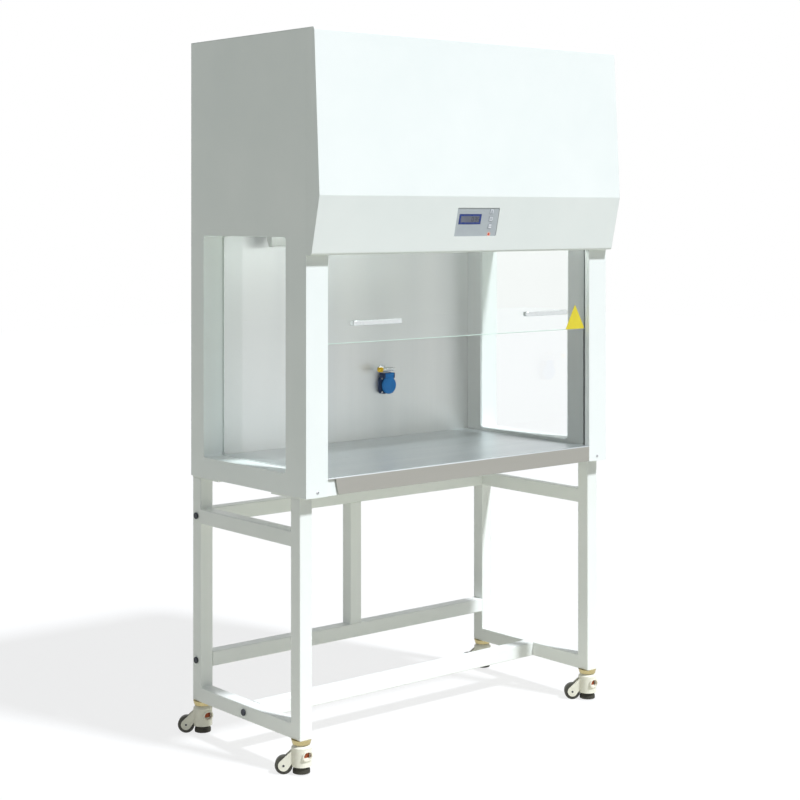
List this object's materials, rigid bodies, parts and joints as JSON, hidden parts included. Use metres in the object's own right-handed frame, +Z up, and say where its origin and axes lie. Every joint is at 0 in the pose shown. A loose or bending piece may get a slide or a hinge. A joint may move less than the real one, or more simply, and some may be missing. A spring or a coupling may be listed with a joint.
{
  "type": "laminar flow hood",
  "caption": "Vertical laminar flow hood with a sliding glass sash, glass side windows, a stainless worktop, a sloped control fascia and a tube stand on levelling casters.",
  "frame": {"origin": "on the floor, midway between the cabinet's two sides and midway between the posts' front faces and the back panel", "axes": "+X to the user's right along the front, +Y to the back, +Z up"},
  "size_m": [1.1364, 0.6145, 1.905],
  "materials": {
    "powder_coat": "satin powder coat, white",
    "stand_coat": "satin powder coat, light grey",
    "stainless": "brushed stainless sheet",
    "clear_glass": "clear, faint green edge",
    "guide_aluminium": "satin anodised",
    "handle_plastic": "white, smooth",
    "yellow_film": "self-adhesive film, plain",
    "panel_overlay": "grey membrane overlay",
    "display_module": "blue frame, dark glass",
    "key_plastic": "grey key caps with white signs",
    "lamp_lens": "orange-red lens",
    "dark_plastic": "moulded",
    "socket_plastic": "dark blue moulded",
    "lid_plastic": "blue moulded",
    "chromed_brass": "polished chrome plate",
    "yellow_plastic": "yellow moulded",
    "diffuser_coat": "satin powder coat, white",
    "filter_media": "pleated glass paper and fleece",
    "galvanised_steel": "galvanised sheet",
    "fan_aluminium": "pressed sheet",
    "motor_metal": "painted motor can",
    "lamp_diffuser": "opal cover",
    "sensor_plastic": "moulded",
    "black_cap": "black cap on a steel bolt",
    "yellow_zinc": "yellow passivated zinc plate",
    "caster_nylon": "moulded nylon, cream",
    "wheel_rubber": "dark solid wheel",
    "dial_plastic": "orange moulded",
    "foot_rubber": "black pad on a steel screw"
  },
  "bodies": {
    "cabinet": {"left_outer_skin": "powder_coat", "right_outer_skin": "powder_coat", "back_panel": "powder_coat", "top_panel": "powder_coat", "floor_pan": "powder_coat", "front_cover": "powder_coat", "left_stand_frame": "stand_coat", "right_stand_frame": "stand_coat", "rear_frame": "stand_coat", "centre_bar": "stand_coat", "left_inner_liner": "stainless", "right_inner_liner": "stainless", "worktop": "stainless", "left_window": "clear_glass", "right_window": "clear_glass", "left_sash_guide": "guide_aluminium", "right_sash_guide": "guide_aluminium", "control_bezel": "panel_overlay", "display": "display_module", "status_lamp": "lamp_lens", "controller_box": "dark_plastic", "socket_base": "socket_plastic", "valve_body": "chromed_brass", "ceiling_diffuser": "diffuser_coat", "hepa_filter": "filter_media", "prefilter": "filter_media", "plenum_box": "galvanised_steel", "blower_housing": "galvanised_steel", "blower_motor": "motor_metal", "work_lamp": "lamp_diffuser", "air_sensor": "sensor_plastic", "stand_bolts": "black_cap", "caster_plates": "yellow_zinc"},
    "sash": {"sash_glass": "clear_glass", "left_sash_handle": "handle_plastic", "right_sash_handle": "handle_plastic", "corner_sticker": "yellow_film"},
    "top_key": {"top_key": "key_plastic"},
    "middle_key": {"middle_key": "key_plastic"},
    "bottom_key": {"bottom_key": "key_plastic"},
    "socket_lid": {"socket_lid": "lid_plastic"},
    "valve_knob": {"valve_knob": "yellow_plastic"},
    "blower_wheel": {"blower_wheel": "fan_aluminium"},
    "front_left_caster_housing": {"front_left_caster_housing": "caster_nylon"},
    "front_left_caster_wheel": {"front_left_caster_wheel": "wheel_rubber"},
    "front_left_caster_dial": {"front_left_caster_dial": "dial_plastic"},
    "front_left_caster_foot": {"front_left_caster_foot": "foot_rubber"},
    "front_right_caster_housing": {"front_right_caster_housing": "caster_nylon"},
    "front_right_caster_wheel": {"front_right_caster_wheel": "wheel_rubber"},
    "front_right_caster_dial": {"front_right_caster_dial": "dial_plastic"},
    "front_right_caster_foot": {"front_right_caster_foot": "foot_rubber"},
    "rear_left_caster_housing": {"rear_left_caster_housing": "caster_nylon"},
    "rear_left_caster_wheel": {"rear_left_caster_wheel": "wheel_rubber"},
    "rear_left_caster_dial": {"rear_left_caster_dial": "dial_plastic"},
    "rear_left_caster_foot": {"rear_left_caster_foot": "foot_rubber"},
    "rear_right_caster_housing": {"rear_right_caster_housing": "caster_nylon"},
    "rear_right_caster_wheel": {"rear_right_caster_wheel": "wheel_rubber"},
    "rear_right_caster_dial": {"rear_right_caster_dial": "dial_plastic"},
    "rear_right_caster_foot": {"rear_right_caster_foot": "foot_rubber"}
  },
  "joints": [
    {"name": "sash_slide", "type": "slide", "parent": "cabinet", "child": "sash", "axis": [0, 0, 1], "range_m": [-0.339, 0.165]},
    {"name": "top_key_press", "type": "slide", "parent": "cabinet", "child": "top_key", "axis": [0, 0.9759, 0.2183], "range_m": [0, 0.0008], "stiffness_N_per_m": 2500},
    {"name": "middle_key_press", "type": "slide", "parent": "cabinet", "child": "middle_key", "axis": [0, 0.9759, 0.2183], "range_m": [0, 0.0008], "stiffness_N_per_m": 2500},
    {"name": "bottom_key_press", "type": "slide", "parent": "cabinet", "child": "bottom_key", "axis": [0, 0.9759, 0.2183], "range_m": [0, 0.0008], "stiffness_N_per_m": 2500},
    {"name": "socket_lid_hinge", "type": "hinge", "parent": "cabinet", "child": "socket_lid", "pos_m": [0.143, 0.2429, 0.9495], "axis": [-1, 0, 0], "range_deg": [0, 85], "stiffness_Nm_per_rad": 0.05, "springref_deg": -17.19},
    {"name": "valve_turn", "type": "hinge", "parent": "cabinet", "child": "valve_knob", "pos_m": [0.0972, 0.2292, 0.966], "axis": [1, 0, 0], "range_deg": [0, 90]},
    {"name": "fan_spin", "type": "hinge", "parent": "cabinet", "child": "blower_wheel", "pos_m": [0, 0.0119, 1.6144], "axis": [0, 0, 1], "continuous": true},
    {"name": "front_left_swivel", "type": "hinge", "parent": "cabinet", "child": "front_left_caster_housing", "pos_m": [-0.526, -0.213, 0.066], "axis": [0, 0, 1], "continuous": true},
    {"name": "front_left_roll", "type": "hinge", "parent": "front_left_caster_housing", "child": "front_left_caster_wheel", "pos_m": [-0.56047, -0.18407, 0.023], "axis": [-0.6428, -0.766, 0], "continuous": true},
    {"name": "front_left_dial_turn", "type": "hinge", "parent": "front_left_caster_housing", "child": "front_left_caster_dial", "pos_m": [-0.526, -0.213, 0.05], "axis": [0, 0, 1], "range_deg": [0, 1320]},
    {"name": "front_left_foot_drop", "type": "slide", "parent": "front_left_caster_housing", "child": "front_left_caster_foot", "axis": [0, 0, -1], "range_m": [0, 0.01101]},
    {"name": "front_right_swivel", "type": "hinge", "parent": "cabinet", "child": "front_right_caster_housing", "pos_m": [0.526, -0.213, 0.066], "axis": [0, 0, 1], "continuous": true},
    {"name": "front_right_roll", "type": "hinge", "parent": "front_right_caster_housing", "child": "front_right_caster_wheel", "pos_m": [0.49153, -0.18407, 0.023], "axis": [-0.6428, -0.766, 0], "continuous": true},
    {"name": "front_right_dial_turn", "type": "hinge", "parent": "front_right_caster_housing", "child": "front_right_caster_dial", "pos_m": [0.526, -0.213, 0.05], "axis": [0, 0, 1], "range_deg": [0, 1320]},
    {"name": "front_right_foot_drop", "type": "slide", "parent": "front_right_caster_housing", "child": "front_right_caster_foot", "axis": [0, 0, -1], "range_m": [0, 0.01101]},
    {"name": "rear_left_swivel", "type": "hinge", "parent": "cabinet", "child": "rear_left_caster_housing", "pos_m": [-0.526, 0.243, 0.066], "axis": [0, 0, 1], "continuous": true},
    {"name": "rear_left_roll", "type": "hinge", "parent": "rear_left_caster_housing", "child": "rear_left_caster_wheel", "pos_m": [-0.56047, 0.27192, 0.023], "axis": [-0.6428, -0.766, 0], "continuous": true},
    {"name": "rear_left_dial_turn", "type": "hinge", "parent": "rear_left_caster_housing", "child": "rear_left_caster_dial", "pos_m": [-0.526, 0.243, 0.05], "axis": [0, 0, 1], "range_deg": [0, 1320]},
    {"name": "rear_left_foot_drop", "type": "slide", "parent": "rear_left_caster_housing", "child": "rear_left_caster_foot", "axis": [0, 0, -1], "range_m": [0, 0.01101]},
    {"name": "rear_right_swivel", "type": "hinge", "parent": "cabinet", "child": "rear_right_caster_housing", "pos_m": [0.526, 0.243, 0.066], "axis": [0, 0, 1], "continuous": true},
    {"name": "rear_right_roll", "type": "hinge", "parent": "rear_right_caster_housing", "child": "rear_right_caster_wheel", "pos_m": [0.49153, 0.27192, 0.023], "axis": [-0.6428, -0.766, 0], "continuous": true},
    {"name": "rear_right_dial_turn", "type": "hinge", "parent": "rear_right_caster_housing", "child": "rear_right_caster_dial", "pos_m": [0.526, 0.243, 0.05], "axis": [0, 0, 1], "range_deg": [0, 1320]},
    {"name": "rear_right_foot_drop", "type": "slide", "parent": "rear_right_caster_housing", "child": "rear_right_caster_foot", "axis": [0, 0, -1], "range_m": [0, 0.01101]}
  ],
  "couplings": [
    {"joint": "front_left_foot_drop", "follows": "front_left_dial_turn", "m_per_rad": 0.00047746},
    {"joint": "front_right_foot_drop", "follows": "front_right_dial_turn", "m_per_rad": 0.00047746},
    {"joint": "rear_left_foot_drop", "follows": "rear_left_dial_turn", "m_per_rad": 0.00047746},
    {"joint": "rear_right_foot_drop", "follows": "rear_right_dial_turn", "m_per_rad": 0.00047746}
  ]
}
